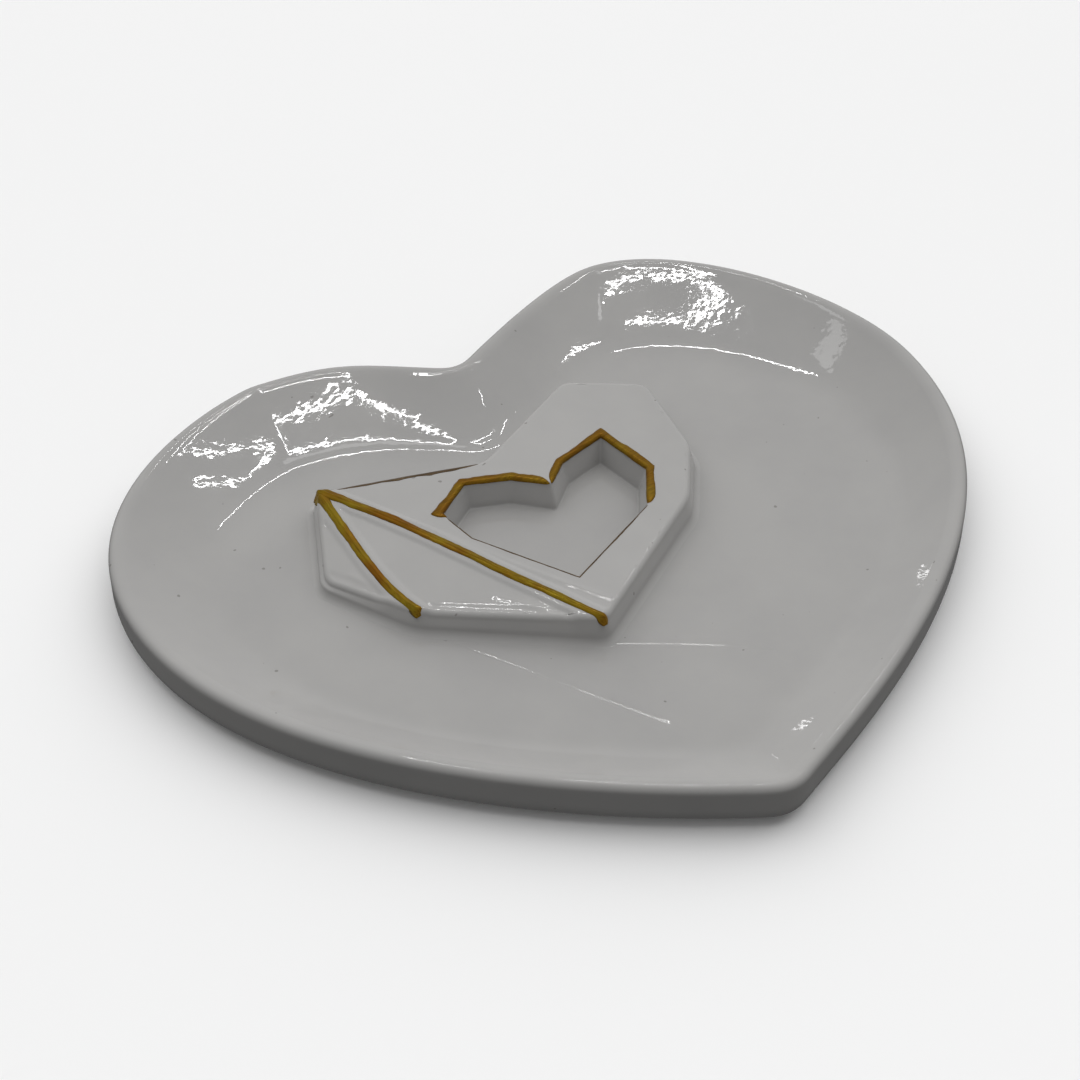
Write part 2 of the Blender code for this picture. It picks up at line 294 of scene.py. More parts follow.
def follow_recipe(recipe, corners):
    """Points of a rounded polygon, from round_polygon's mixes and a set of corners."""
    return np.array([sum(share * np.array(corners[i]) for i, share in mix) for mix in recipe])


def distance_to_line(points, line):
    """Distance from plan points to a line of plan points, and the nearest place along it."""
    best = np.full(len(points), 1e9)
    place = np.zeros(len(points))
    start = 0.0
    line = np.array(line, float)
    for a, b in zip(line, line[1:]):
        run = b - a
        length = np.linalg.norm(run)
        t = np.clip((points - a) @ run / length ** 2, 0, 1)
        gap = np.linalg.norm(points - a - t[:, None] * run, axis=1)
        near = gap < best
        best = np.where(near, gap, best)
        place = np.where(near, start + t * length, place)
        start += length
    return best, place


def inside(points, outline):
    """True for plan points inside an outline."""
    x, y = points[:, 0], points[:, 1]
    result = np.zeros(len(points), bool)
    for a, b in zip(outline, np.roll(outline, -1, axis=0)):
        spans = (a[1] > y) != (b[1] > y)
        rise = b[1] - a[1] if b[1] != a[1] else 1e-9
        result ^= spans & (x < (b[0] - a[0]) * (y - a[1]) / rise + a[0])
    return result


def smooth_step(value, start, end):
    """0 before start and 1 after end, with a smooth rise between."""
    t = np.clip((value - start) / (end - start), 0, 1)
    return t * t * (3 - 2 * t)


def ripple(points, wavelength, seed):
    """Smooth made-up unevenness between -1 and 1, from a few plane waves."""
    rng = np.random.default_rng(seed)
    total = np.zeros(len(points))
    for _ in range(9):
        angle = rng.uniform(0, 2 * pi)
        scale = 2 * pi / (wavelength * rng.uniform(0.7, 1.6))
        along = points[:, 0] * cos(angle) + points[:, 1] * sin(angle)
        total += np.sin(along * scale + rng.uniform(0, 2 * pi))
    return total / 4


def unevenness(rng, reach, scale, amount):
    """Random changes along a line, with a new value every so many millimetres."""
    knots = np.arange(0, reach[-1] + scale, scale)
    return np.interp(reach, knots, rng.normal(0, amount, len(knots)))


def rounded_ends(reach, taper):
    """Share of the full width along a line that narrows round at both ends."""
    from_end = np.minimum(reach, reach[-1] - reach)
    return np.sqrt(np.clip(1 - (1 - from_end / taper).clip(0, 1) ** 2, 0, 1))


# Meshes


def make_piece(name, points, faces, materials):
    """A smooth-shaded object on the part's one body, from points in millimetres."""
    mesh = bpy.data.meshes.new(name)
    mesh.from_pydata((np.array(points) * MM).tolist(), [], faces)
    for material in materials:
        mesh.materials.append(material)
    mesh.validate()
    mesh.shade_smooth()
    piece = bpy.data.objects.new(name, mesh)
    bpy.context.scene.collection.objects.link(piece)
    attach(piece, "root")
    return piece


def lofted_faces(rings, count):
    """Quads between closed rings of count points that follow each other in one list."""
    faces = []
    for ring in range(rings - 1):
        for i in range(count):
            a = ring * count + i
            b = ring * count + (i + 1) % count
            faces.append((a, b, b + count, a + count))
    return faces


def filled(outlines, lines, spacing):
    """Triangulate the plan region between outlines, with inner lines kept as edges.

    The first outline is the border and the others are holes. Returns points and faces; the
    first points are the outlines' own, in order.
    """
    points = [np.array(outline) for outline in outlines]
    edges = []
    start = 0
    for outline in points:
        count = len(outline)
        edges += [(start + i, start + (i + 1) % count) for i in range(count)]
        start += count
    for line in lines:
        line = np.array(line)
        edges += [(start + i, start + i + 1) for i in range(len(line) - 1)]
        points.append(line)
        start += len(line)
    low = points[0].min(0)
    high = points[0].max(0)
    rows = np.arange(low[1], high[1], spacing * 0.866)
    grid = []
    for index, y in enumerate(rows):
        x = np.arange(low[0] + spacing / 2 * (index % 2), high[0], spacing)
        grid.append(np.stack([x, np.full(len(x), y)], axis=1))
    grid = np.vstack(grid)
    keep = inside(grid, points[0])
    for hole in points[1:len(outlines)]:
        keep &= ~inside(grid, hole)
    for outline in points[:len(outlines)]:
        loop = np.vstack([outline, outline[:1]])
        keep &= distance_to_line(grid, loop)[0] > spacing * 0.45
    for line in points[len(outlines):]:
        keep &= distance_to_line(grid, line)[0] > spacing * 0.45
    points.append(grid[keep])
    everything = np.vstack(points)
    vectors = [Vector((float(x), float(y))) for x, y in everything]
    out, _, faces, *_ = delaunay_2d_cdt(vectors, edges, [], 0, 1e-5)
    out = np.array([(v.x, v.y) for v in out])
    faces = [tuple(face) for face in faces]
    middle = np.array([out[list(face)].mean(0) for face in faces])
    good = inside(middle, points[0])
    for hole in points[1:len(outlines)]:
        good &= ~inside(middle, hole)
    faces = [face for face, ok in zip(faces, good) if ok]
    return out, faces


# Dish


def cad_outline(height):
    """The dish's outline at one of the CAD's ring heights, counter-clockwise."""
    found = set()
    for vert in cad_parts["dish_body"].data.vertices:
        if abs(vert.co.z / MM - height) < 0.02:
            found.add((round(vert.co.x / MM, 3), round(vert.co.y / MM, 3)))
    points = np.array(sorted(found))
    order = np.argsort(np.arctan2(points[:, 1], points[:, 0]))
    return points[order]


def landmarks(outline):
    """Indices of the tip, right side, right lobe, cleft, left lobe and left side."""
    x, y = outline[:, 0], outline[:, 1]
    right_lobe = int(np.argmax(np.where(x > 0, y, -1e9)))
    left_lobe = int(np.argmax(np.where(x < 0, y, -1e9)))
    between = (x < x[right_lobe]) & (x > x[left_lobe]) & (y > 0)
    cleft = int(np.argmin(np.where(between, y, 1e9)))
    return [int(np.argmin(y)), int(np.argmax(x)), right_lobe, cleft, left_lobe, int(np.argmin(x))]


def fine_outline(height):
    """Smooth outline at a CAD ring's height, with the same share of points in each stretch."""
    outline = cad_outline(height)
    marks = landmarks(outline)
    outline = np.roll(outline, -marks[0], axis=0)
    marks = [(mark - marks[0]) % len(outline) for mark in marks] + [len(outline)]
    dense = spline(outline, 20, closed=True)
    dense = np.vstack([dense, dense[:1]])
    stretches = []
    for start, end, count in zip(marks, marks[1:], STRETCH_POINTS):
        part = dense[start * 20:end * 20 + 1]
        reach = run_lengths(part)
        at = np.linspace(0, reach[-1], count + 1)[:-1]
        stretches.append(np.column_stack([np.interp(at, reach, part[:, i]) for i in (0, 1)]))
    return np.vstack(stretches)


def cove_slope(share):
    """Relative slope of the wall: a slight hollow, then a quick round out to the floor."""
    wall = COVE_TOP_SLOPE + (COVE_LOW_SLOPE - COVE_TOP_SLOPE) * share
    return wall * smooth_step(1 - share, -0.02, COVE_FOOT_SHARE)


def cove_fall(share):
    """Height left above the floor, as a share of the depth, along the wall's run."""
    steps = np.linspace(0, 1, 400)
    slope = cove_slope(steps)
    fallen = np.concatenate([[0], np.cumsum((slope[1:] + slope[:-1]) / 2)])
    return 1 - np.interp(share, steps, fallen / fallen[-1])


def dish_rings(rim, floor):
    """(outline, height) rings from the underside up the outer wall, over and down to the floor."""
    rings = []
    for step in range(13):
        turn = pi / 2 * step / 12
        reach = FOOT_EDGE_RADIUS * (1 - sin(turn))
        rings.append((inset(rim, reach), FOOT_EDGE_RADIUS * (1 - cos(turn))))
    for step in range(1, 5):
        height = FOOT_EDGE_RADIUS + (OUTLINE_HEIGHT - FOOT_EDGE_RADIUS) * step / 5
        rings.append((rim, height))
    for step in range(9):
        turn = pi / 2 * step / 8
        reach = RIM_EDGE_RADIUS * (1 - cos(turn))
        rings.append((inset(rim, reach), RIM_HEIGHT - RIM_EDGE_RADIUS * (1 - sin(turn))))
    lip_end = LIP_WIDTH - LIP_EDGE_RADIUS
    for step in range(1, 7):
        share = step / 6
        reach = RIM_EDGE_RADIUS + (lip_end - RIM_EDGE_RADIUS) * share
        rings.append((inset(rim, reach), RIM_HEIGHT - LIP_FALL * share ** 2))
    lip = inset(rim, LIP_WIDTH)
    lip_low = RIM_HEIGHT - 2 * LIP_FALL
    for share in np.linspace(COVE_FIRST_SHARE, 1, COVE_RINGS):
        height = FLOOR_HEIGHT + (lip_low - FLOOR_HEIGHT) * cove_fall(share)
        rings.append((lip + (floor - lip) * share, height))
    return rings


def scratch_lines():
    """Close lines along each scratch, so that the floor's mesh can follow its groove."""
    lines = []
    for points, _ in SCRATCHES:
        middle = spline(np.array(points) + SHIFT, 24, closed=False)
        side = sideways(middle)
        for offset in SCRATCH_MESH_OFFSETS:
            lines.append(middle + side * offset)
    return lines


def scratch_height(points):
    """Groove and faint burr of the scratches, in millimetres."""
    height = np.zeros(len(points))
    for line, depth in SCRATCHES:
        middle = spline(np.array(line) + SHIFT, 24, closed=False)
        gap, place = distance_to_line(points, middle)
        fade = 0.75 + 0.25 * np.sin(place * 1.7) * np.sin(place * 0.9 + 1)
        height -= depth * fade * np.exp(-(gap / SCRATCH_HALF) ** 2)
        height += BURR_SHARE * depth * fade * np.exp(-((gap - BURR_OFFSET) / BURR_HALF) ** 2)
    return height


def make_dish(materials):
    """Glazed dish with a bare flat underside."""
    rim = fine_outline(OUTLINE_HEIGHT)
    floor = inset(fine_outline(FLOOR_HEIGHT), COVE_FOOT_REACH)
    rings = dish_rings(rim, floor)
    count = len(rim)
    points = []
    for outline, height in rings:
        points.append(np.column_stack([outline, np.full(count, height)]))
    points = np.vstack(points)
    faces = lofted_faces(len(rings), count)
    plan, floor_faces = filled([floor], scratch_lines(), FLOOR_SPACING)
    first = len(points) - count
    extra = plan[count:]
    points = np.vstack([points, np.column_stack([extra, FLOOR_HEIGHT + scratch_height(extra)])])
    faces += [tuple(first + i for i in face) for face in floor_faces]
    under, under_faces = filled([rings[0][0]], [], UNDERSIDE_SPACING)
    start = len(points)
    extra = under[count:]
    points = np.vstack([points, np.column_stack([extra, np.zeros(len(extra))])])
    for face in under_faces:
        faces.append(tuple(i if i < count else start + i - count for i in face[::-1]))
    inner = points[:, 2] > 0.5
    broad, fine = [height * ripple(points[:, :2], length, seed) for height, length, seed in DISH_WAVES]
    wave = broad + fine
    edge = smooth_step(points[:, 2], 6.2, 7.2)
    top = (distance_to_line(points[:, :2], np.vstack([rim, rim[:1]]))[0] > 1.2) & inner
    points[:, 2] += np.where(top, wave, 0) * (1 - 0.6 * edge)
    points[:, 2] = np.minimum(points[:, 2], RIM_HEIGHT)
    dish = make_piece("glazed_dish", points, faces, materials)
    mesh = dish.data
    bare = []
    for face in mesh.polygons:
        highest = max(mesh.vertices[v].co.z for v in face.vertices)
        bare.append(1 if highest < BARE_BELOW * MM else 0)
    mesh.polygons.foreach_set("material_index", bare)
    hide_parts("dish_body")


# Tablet


SHIFT = tablet_shift()
TABLET_PLAN = np.array([c[:2] for c in TABLET_CORNERS.values()]) + SHIFT
TABLET_DROP = dict(zip(TABLET_CORNERS, [c[2] for c in TABLET_CORNERS.values()]))
TABLET_AT = dict(zip(TABLET_CORNERS, TABLET_PLAN))
WINDOW_PLAN = np.array(WINDOW_CORNERS) + SHIFT
LONG_LINE = np.array(LONG_STROKE) + SHIFT
SHORT_LINE = np.array(SHORT_STROKE) + SHIFT


def plane_drop(points, names):
    """Drop below the top of the plane through three of the tablet's corners."""
    corners = np.array([[*TABLET_AT[n], 1] for n in names])
    drops = np.array([TABLET_DROP[n] for n in names])
    factors = np.linalg.solve(corners, drops)
    return points @ factors[:2] + factors[2]


def top_height(points):
    """Height of the tablet's top before its edges are rounded."""
    near = plane_drop(points, ("left", "point", "front"))
    side = plane_drop(points, ("left", "front", "low_left"))
    drop = np.maximum(0, np.maximum(near, side))
    long_gap, _ = distance_to_line(points, LONG_LINE)
    short_gap, _ = distance_to_line(points, SHORT_LINE)
    rib = np.maximum(
        1 - smooth_step(long_gap, RIB_HALF - 0.55, RIB_HALF + 0.25),
        1 - smooth_step(short_gap, RIB_HALF - 0.75, RIB_HALF + 0.15),
    )
    front_line = [TABLET_AT["low_left"], TABLET_AT["front"], TABLET_AT["point"]]
    border_gap, _ = distance_to_line(points, front_line)
    border = 1 - smooth_step(border_gap, BORDER_INNER, BORDER_OUTER)
    bump = RIB_HEIGHT * rib - BORDER_DEPTH * border * (1 - rib)
    for line, height, spread in WELTS:
        gap, _ = distance_to_line(points, spline(np.array(line) + SHIFT, 24, closed=False))
        bump += height * np.exp(-(gap / spread) ** 2)
    broad, fine = [height * ripple(points, length, seed) for height, length, seed in TABLET_WAVES]
    wave = broad + fine
    return TABLET_TOP - drop + bump + wave - TOP_CLEARANCE


def edge_profile(draft, fillet, radius):
    """(offset outwards from the top edge, share of the wall, drop) from the top down."""
    steps = []
    for step in range(8):
        turn = pi / 2 * step / 7
        steps.append((-radius * (1 - sin(turn)), 0.0, radius * (1 - cos(turn))))
    for share in (0.25, 0.5, 0.72):
        steps.append((draft * share, share, None))
    for step in range(9):
        turn = pi / 2 * step / 8
        out = draft + fillet * (1 - cos(turn))
        steps.append((out, 1.0, fillet * (1 - sin(turn)) - SUNK))
    return steps


def wall_rings(corners, recipe, draft, fillet, radius, sign):
    """(outline, heights) rings of a wall; sign is 1 for the outer wall and -1 for the window's."""
    rings = []
    at_top = follow_recipe(recipe, offset_polygon(corners, -sign * radius))
    top = top_height(at_top)
    for out, share, value in edge_profile(draft, fillet, radius):
        outline = follow_recipe(recipe, offset_polygon(corners, sign * out))
        if share == 0.0:
            height = top - value
        elif value is None:
            low = FLOOR_HEIGHT + fillet
            height = (top - radius) * (1 - share) + low * share
        else:
            height = np.full(len(outline), FLOOR_HEIGHT + value)
        rings.append((outline, height))
    return rings


def make_tablet(material):
    """Glazed tablet: its top, outer wall, window wall and base as one closed mesh."""
    outer_recipe = round_polygon(TABLET_PLAN, TABLET_CORNER_ROUNDING, WALL_SPACING)
    window_recipe = round_polygon(WINDOW_PLAN, WINDOW_CORNER_ROUNDING, WALL_SPACING)
    outer = wall_rings(TABLET_PLAN, outer_recipe, TABLET_DRAFT, TABLET_FOOT_FILLET, EDGE_RADIUS, 1)
    window = wall_rings(WINDOW_PLAN, window_recipe, WINDOW_DRAFT, WINDOW_FOOT_FILLET, WINDOW_RADIUS, -1)
    plan, faces = filled([outer[0][0], window[0][0]], [], TOP_SPACING)
    points = [np.column_stack([plan, top_height(plan)])]
    start = len(plan)
    lasts = []
    for rings, first, flip in ((outer, 0, False), (window, len(outer[0][0]), True)):
        count = len(rings[0][0])
        before = [first + i for i in range(count)]
        for outline, height in rings[1:]:
            points.append(np.column_stack([outline, height]))
            now = [start + i for i in range(count)]
            start += count
            for i in range(count):
                j = (i + 1) % count
                face = (before[i], before[j], now[j], now[i])
                faces.append(face[::-1] if flip else face)
            before = now
        lasts.append(before)
    base_plan, base_faces = filled([outer[-1][0], window[-1][0]], [], BASE_SPACING)
    split = len(outer[-1][0])
    border = split + len(window[-1][0])
    extra = base_plan[border:]
    points.append(np.column_stack([extra, np.full(len(extra), FLOOR_HEIGHT - SUNK)]))

    def base_index(i):
        if i < split:
            return lasts[0][i]
        if i < border:
            return lasts[1][i - split]
        return start + i - border

    faces += [tuple(base_index(i) for i in face[::-1]) for face in base_faces]
    points = np.vstack(points)
    tablet = make_piece("glazed_tablet", points, faces, [material])
    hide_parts("faceted_heart_tablet")


# Gold


def finish_gold(name, rings, material, node):
    """Close the rings into a solid that stays below the CAD's top, and hide the node's CAD part."""
    around = len(rings[0])
    faces = lofted_faces(len(rings), around)
    faces.append(tuple(range(around))[::-1])
    faces.append(tuple(range((len(rings) - 1) * around, len(rings) * around)))
    points = np.vstack(rings)
    points[:, 2] = np.minimum(points[:, 2], CAD_BOUNDS[1][2] / MM - 0.005)
    piece = make_piece(name, points, faces, [material])
    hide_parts(node)


def surface_height(points):
    """Height of the tablet's glaze anywhere over it, with its edges rounded off."""
    loop = np.vstack([TABLET_PLAN, TABLET_PLAN[:1]])
    gap, _ = distance_to_line(points, loop)
    depth = np.where(inside(points, TABLET_PLAN), gap, -gap)
    fall = EDGE_RADIUS - np.sqrt(
        np.maximum(EDGE_RADIUS ** 2 - np.clip(EDGE_RADIUS - depth, 0, EDGE_RADIUS) ** 2, 0)
    )
    below = np.clip(-depth, 0, 0.6) * 0.8
    return top_height(points) - fall - below


def brush_stroke(name, path, width, height, seed, start_blob, end_blob, node, material):
    """A raised brushed line that lies on the tablet, with uneven edges and brush ridges."""
    line = spline(path, 24, closed=False)
    reach = run_lengths(line)
    total = reach[-1]
    count = int(total / STROKE_STEP)
    along = np.linspace(0, total, count)
    centre = np.column_stack([np.interp(along, reach, line[:, i]) for i in (0, 1)])
    side = sideways(centre)
    rng = np.random.default_rng(seed)

    def uneven(scale, amount):
        return unevenness(rng, along, scale, amount)

    start_swell = start_blob * np.exp(-(along / 1.6) ** 2)
    end_swell = end_blob * np.exp(-((total - along) / 1.4) ** 2)
    blob = 1 + start_swell + end_swell
    tip = rounded_ends(along, 0.6)
    half = width / 2 * (1.14 - 0.34 * along / total) * blob * tip
    left = half * (1 + uneven(2.2, 0.07) + uneven(0.7, 0.035)) + 0.02
    right = half * (1 + uneven(2.2, 0.07) + uneven(0.7, 0.035)) + 0.02
    thick = height * (0.75 + 0.25 * blob) * (1 + uneven(3.0, 0.08)) * tip
    section = np.linspace(-1, 1, 15)
    phase = uneven(4.0, 0.7)
    rings = []
    for step in range(count):
        spread = np.where(section < 0, section * left[step], section * right[step])
        plan = centre[step] + side[step] * spread[:, None]
        crown = (1 - section ** 2) ** 0.7
        ridges = 0.11 * np.cos(section * 8.5 + phase[step]) + 0.06 * np.cos(section * 15 - phase[step])
        bead = thick[step] * crown * (1 + ridges)
        surface = surface_height(plan)
        ends = np.abs(section) > 0.999
        heights = surface + np.where(ends, -0.06, bead)
        top = np.column_stack([plan, heights])
        bottom = np.column_stack([plan[::-1][1:-1], (surface - 0.10)[::-1][1:-1]])
        rings.append(np.vstack([top, bottom]))
    finish_gold(name, rings, material, node)


def edge_point(arc, radius, draft_slope):
    """Place on the rounded edge of a wall, a distance over it from the edge's middle.

    Returns how far inside the edge it lies, how far below the top, and the way it faces.
    """
    quarter = radius * pi / 2
    half = quarter / 2
    if arc < -half:
        return radius + (-arc - half), 0.0, (0.0, 1.0)
    if arc < half:
        turn = (arc + half) / radius
        return radius * (1 - sin(turn)), radius * (1 - cos(turn)), (sin(turn), cos(turn))
    down = arc - half
    return -draft_slope * down, radius + down, (1.0, 0.15)


def edge_band(name, wall, start, end, width_up, width_down, thick, seed, node, material, taper=1.2):
    """A brushed band wrapped over the top edge of a wall.

    Its start and end are a corner's number plus a share of the side that follows. The wall is
    its corners, 1 or -1 as in wall_rings, its draft slope and its edge radius.
    """
    corners, sign, slope, radius = wall
    count_corners = len(corners)
    rng = np.random.default_rng(seed)
    stations = []
    place = start
    while place < end:
        stations.append(place)
        index = int(place) % count_corners
        length = np.linalg.norm(corners[(index + 1) % count_corners] - corners[index])
        place += BAND_STEP / length
    stations.append(end)
    stations = np.array(stations)

    def at(offset):
        poly = offset_polygon(corners, offset)
        index = stations.astype(int) % count_corners
        share = stations - stations.astype(int)
        return poly[index] * (1 - share[:, None]) + poly[(index + 1) % count_corners] * share[:, None]

    reach = run_lengths(at(0.0))

    def uneven(scale, amount):
        return unevenness(rng, reach, scale, amount)

    tip = rounded_ends(reach, taper)
    up = width_up * (1 + uneven(2.4, 0.12) + uneven(0.8, 0.05)) * tip + 0.02
    down = width_down * (1 + uneven(2.4, 0.12) + uneven(0.8, 0.05)) * tip + 0.02
    bead = thick * (1 + uneven(2.0, 0.12)) * tip
    phase = uneven(3.0, 0.8)
    section = np.linspace(-1, 1, 13)
    inner = at(-sign * radius)
    top = top_height(inner)
    grids = {}
    rings = []
    for step in range(len(stations)):
        upper = []
        lower = []
        for s in section:
            arc = s * (up[step] if s < 0 else down[step])
            inwards, fall, normal = edge_point(arc, radius, slope)
            crown = max(0.0, 1 - s * s) ** 0.6
            ridge = 1 + 0.07 * cos(s * 8 + phase[step])
            for target, lift in ((upper, bead[step] * crown * ridge - (0.05 if abs(s) > 0.99 else 0)),
                                 (lower, -0.09)):
                offset = sign * (-inwards + normal[0] * lift)
                key = round(offset, 4)
                if key not in grids:
                    grids[key] = at(key)
                x, y = grids[key][step]
                target.append((x, y, top[step] - fall + normal[1] * lift))
        rings.append(np.array(upper + lower[::-1][1:-1]))
    finish_gold(name, rings, material, node)


# Materials


def start_material(name):
    material = bpy.data.materials.new(name)
    material.use_nodes = True
    tree = material.node_tree
    return material, tree, tree.nodes["Principled BSDF"]


def add(tree, kind, **settings):
    node = tree.nodes.new(kind)
    for key, value in settings.items():
        setattr(node, key, value)
    return node


def noise(tree, scale, detail=2.0, roughness=0.5, coordinates=None):
    """Noise in the object's own space; scale is in cells per metre."""
    node = add(tree, "ShaderNodeTexNoise")
    node.inputs["Scale"].default_value = scale
    node.inputs["Detail"].default_value = detail
    node.inputs["Roughness"].default_value = roughness
    if coordinates is None:
        coordinates = add(tree, "ShaderNodeTexCoord").outputs["Object"]
    tree.links.new(coordinates, node.inputs["Vector"])
    return node.outputs["Fac"]


def ramp(tree, source, stops):
    node = add(tree, "ShaderNodeValToRGB")
    while len(node.color_ramp.elements) < len(stops):
        node.color_ramp.elements.new(0.5)
    for element, (position, colour) in zip(node.color_ramp.elements, stops):
        element.position = position
        element.color = (*colour, 1.0)
    tree.links.new(source, node.inputs["Fac"])
    return node.outputs["Color"]


def remap(tree, source, low, high, to_low, to_high):
    node = add(tree, "ShaderNodeMapRange")
    for key, value in (("From Min", low), ("From Max", high), ("To Min", to_low), ("To Max", to_high)):
        node.inputs[key].default_value = value
    tree.links.new(source, node.inputs["Value"])
    return node.outputs["Result"]


def bump(tree, source, distance, strength, before=None):
    node = add(tree, "ShaderNodeBump")
    node.inputs["Distance"].default_value = distance
    node.inputs["Strength"].default_value = strength
    tree.links.new(source, node.inputs["Height"])
    if before is not None:
        tree.links.new(before, node.inputs["Normal"])
    return node.outputs["Normal"]


def mix(tree, factor, colour_a, colour_b):
    node = add(tree, "ShaderNodeMix", data_type="RGBA")
    tree.links.new(factor, node.inputs["Factor"])
    for socket, value in ((node.inputs[6], colour_a), (node.inputs[7], colour_b)):
        if isinstance(value, tuple):
            socket.default_value = (*value, 1.0)
        else:
            tree.links.new(value, socket)
    return node.outputs[2]


def glaze_material(name, light, dark):
    """Clear gloss over pale grey clay, with orange peel, faint mottling and dark specks."""
    material, tree, shader = start_material(name)
    mottle = ramp(tree, noise(tree, 60, 4, 0.6), ((0.35, dark), (0.65, light)))
    specks = noise(tree, 900, 0, 0.5)
    speck = remap(tree, specks, 0.86, 0.88, 0.0, 0.5)
    colour = mix(tree, speck, mottle, (0.10, 0.09, 0.08))
    tree.links.new(colour, shader.inputs["Base Color"])
    gloss = remap(tree, noise(tree, 240, 3, 0.6), 0.3, 0.7, 0.022, 0.034)
    tree.links.new(gloss, shader.inputs["Roughness"])
    shader.inputs["IOR"].default_value = 1.5
    peel = bump(tree, noise(tree, 750, 1.0, 0.4), 0.000008, 1.0)
    swell = bump(tree, noise(tree, 230, 1.0, 0.4), 0.000005, 1.0, peel)
    tree.links.new(swell, shader.inputs["Normal"])
    return material


def bisque_material(name):
    """Bare fired clay of the wiped underside."""
    material, tree, shader = start_material(name)
    colour = ramp(tree, noise(tree, 220, 5, 0.65), ((0.3, (0.47, 0.44, 0.40)), (0.7, (0.62, 0.59, 0.54))))
    tree.links.new(colour, shader.inputs["Base Color"])
    shader.inputs["Roughness"].default_value = 0.85
    tree.links.new(bump(tree, noise(tree, 2600, 3, 0.6), 0.0001, 0.5), shader.inputs["Normal"])
    return material


def gold_material(name, angle, brown, olive):
    """Brushed gold lustre: olive gold with brown, thin places and fine streaks along the brush."""
    material, tree, shader = start_material(name)
    coordinates = add(tree, "ShaderNodeTexCoord").outputs["Object"]
    turn = add(tree, "ShaderNodeMapping", vector_type="TEXTURE")
    turn.inputs["Rotation"].default_value = (0, 0, angle)
    turn.inputs["Scale"].default_value = (9.0, 1.0, 1.0)
    tree.links.new(coordinates, turn.inputs["Vector"])
    streaks = noise(tree, 3800, 2, 0.5, turn.outputs["Vector"])
    base = ramp(tree, noise(tree, 170, 2, 0.5), ((0.38, brown), (0.60, olive)))
    thin = tuple(channel * 0.45 for channel in brown)
    colour = mix(tree, remap(tree, streaks, 0.30, 0.55, 0.55, 0.0), base, thin)
    tree.links.new(colour, shader.inputs["Base Color"])
    shader.inputs["Metallic"].default_value = 0.6
    shader.inputs["Specular IOR Level"].default_value = 0.25
    rough = remap(tree, streaks, 0.3, 0.7, 0.42, 0.26)
    tree.links.new(rough, shader.inputs["Roughness"])
    tree.links.new(bump(tree, streaks, 0.00004, 0.5), shader.inputs["Normal"])
    return material


def floor_material():
    material, tree, shader = start_material("studio_floor")
    colour = ramp(tree, noise(tree, 3, 2, 0.5), ((0.3, (0.885, 0.885, 0.885)), (0.7, (0.90, 0.90, 0.90))))
    tree.links.new(colour, shader.inputs["Base Color"])
    shader.inputs["Roughness"].default_value = 0.9
    shader.inputs["Specular IOR Level"].default_value = 0.0
    return material


# Studio

# Camera: place in the plan's millimetres, and turns about X and Z.
CAMERA_AT = (-127.43, -223.86, 240.86)
VIEW_AZIMUTH = 28.04
CAMERA_TURN = (radians(47.504), 0.0, radians(-VIEW_AZIMUTH))
LENS = 80.4
STAGE_HALF = 60.0
STAGE_HEIGHT = -0.0001
SKY_GLOW = 0.35
GROUND_GLOW = 0.10
NEAR = 0.22
MIDWAY = 0.35
FAR = 1.5

# Spots on the dish that the light bars are aimed from, in millimetres.
FAR_LOBE = (38, 45, 5.5)
LEFT_LOBE = (-15, 38, 5)
CLEFT = (1, 32, 4.5)
RIGHT_SIDE = (56, 22, 5.3)
RIGHT_FRONT = (10, -44, 5)
MIDDLE = (0, 30, 5)

# Light bars: name, spot, start and end (azimuth, elevation) and thickness in degrees, radiance,
# and distance in metres.
GLINTS = (
    ("far_loop_top", FAR_LOBE, (21, 62.5), (-6, 67.5), 0.22, 40, MIDWAY),
    ("far_loop_bottom", FAR_LOBE, (11, 61.5), (2, 63.5), 0.25, 40, MIDWAY),
    ("far_loop_right", FAR_LOBE, (2, 63.8), (-5.5, 67.3), 0.3, 40, MIDWAY),
    ("far_loop_left", FAR_LOBE, (21, 60.5), (24, 62), 0.9, 3, MIDWAY),
    ("left_loop_top", LEFT_LOBE, (3.4, 66.8), (-9, 70.3), 0.3, 40, NEAR),
    ("left_loop_bottom", LEFT_LOBE, (0, 64), (-7, 66.5), 0.3, 40, NEAR),
    ("left_loop_right", LEFT_LOBE, (-9, 70.3), (-7.5, 67.3), 0.3, 40, NEAR),
    ("left_loop_left", LEFT_LOBE, (3, 66.5), (0, 64), 0.3, 40, NEAR),
    ("cleft_patch", CLEFT, (37, 58), (34, 58), 0.5, 30, MIDWAY),
    ("cleft_bar", CLEFT, (22, 53), (33, 49), 0.3, 30, MIDWAY),
    ("right_soft", RIGHT_SIDE, (-36, 63), (-20, 62), 1.5, 2, MIDWAY),
    ("front_bar", RIGHT_FRONT, (-16, 9), (-16, 12), 0.12, 8, MIDWAY),
    ("foot_bar", MIDDLE, (9, 49.5), (-6, 58), 0.3, 40, FAR),
)


def make_camera():
    data = bpy.data.cameras.new("camera")
    data.lens = LENS
    data.sensor_width = 36
    camera = bpy.data.objects.new("camera", data)
    camera.location = (Vector(CAMERA_AT) + Vector((*SHIFT, 0))) * MM
    camera.rotation_euler = CAMERA_TURN
    bpy.context.scene.collection.objects.link(camera)
    bpy.context.scene.camera = camera


